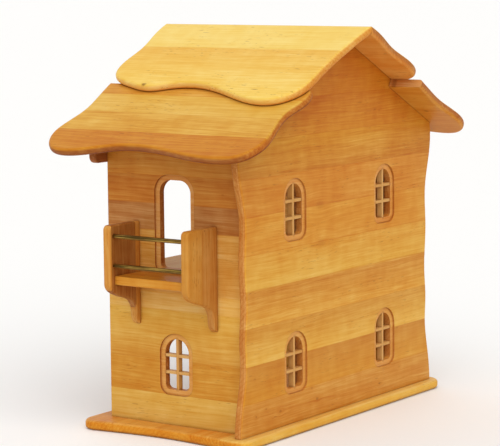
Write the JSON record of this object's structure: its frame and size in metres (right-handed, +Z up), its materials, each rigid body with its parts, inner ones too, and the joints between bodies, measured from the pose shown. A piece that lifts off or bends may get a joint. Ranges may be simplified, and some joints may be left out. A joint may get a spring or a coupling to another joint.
{
  "type": "wooden dollhouse",
  "caption": "Two-storey wooden dollhouse with wavy board edges, arched windows, a shingled gable roof, a side balcony with metal rails and an open back.",
  "frame": {"origin": "middle of the base board, on its underside", "axes": "+X along the gable front, to the right as one faces it; +Y from the gable front to the open back; +Z up"},
  "size_m": [0.6834, 0.4305, 0.651],
  "materials": {
    "wood_base": "oiled edge-glued hardwood",
    "wood_front": "oiled edge-glued hardwood",
    "wood_side": "oiled edge-glued hardwood",
    "wood_inner": "oiled edge-glued hardwood",
    "wood_gable_back": "oiled edge-glued hardwood",
    "wood_roof_upper": "oiled edge-glued hardwood",
    "wood_roof_lower": "oiled edge-glued hardwood",
    "wood_balcony": "oiled hardwood",
    "wood_bars": "oiled hardwood strip",
    "wood_dowel": "plain hardwood dowel",
    "brass_rail": "drawn, slightly dulled"
  },
  "bodies": {
    "root": {"back_gable_board": "wood_gable_back", "balcony_dowels": "wood_dowel", "balcony_floor": "wood_balcony", "balcony_rail_lower": "brass_rail", "balcony_rail_upper": "brass_rail", "balcony_side_back": "wood_balcony", "balcony_side_front": "wood_balcony", "base_board": "wood_base", "base_dowels": "wood_dowel", "floor_dowels": "wood_dowel", "front_dowels": "wood_dowel", "front_gable_panel": "wood_front", "gable_dowels": "wood_dowel", "left_side_wall": "wood_side", "lower_partition": "wood_inner", "partition_dowels": "wood_dowel", "right_side_wall": "wood_side", "roof_dowels": "wood_dowel", "roof_lower_left": "wood_roof_lower", "roof_lower_right": "wood_roof_lower", "roof_upper_left": "wood_roof_upper", "roof_upper_right": "wood_roof_upper", "upper_floor": "wood_inner", "upper_partition": "wood_inner", "window_crossbars_front_lower_left": "wood_bars", "window_crossbars_front_lower_right": "wood_bars", "window_crossbars_front_upper_left": "wood_bars", "window_crossbars_front_upper_right": "wood_bars", "window_crossbars_left_wall": "wood_bars", "window_crossbars_right_wall_lower": "wood_bars", "window_crossbars_right_wall_upper": "wood_bars", "window_upright_front_lower_left": "wood_bars", "window_upright_front_lower_right": "wood_bars", "window_upright_front_upper_left": "wood_bars", "window_upright_front_upper_right": "wood_bars", "window_upright_left_wall": "wood_bars", "window_upright_right_wall_lower": "wood_bars", "window_upright_right_wall_upper": "wood_bars"}
  },
  "joints": []
}
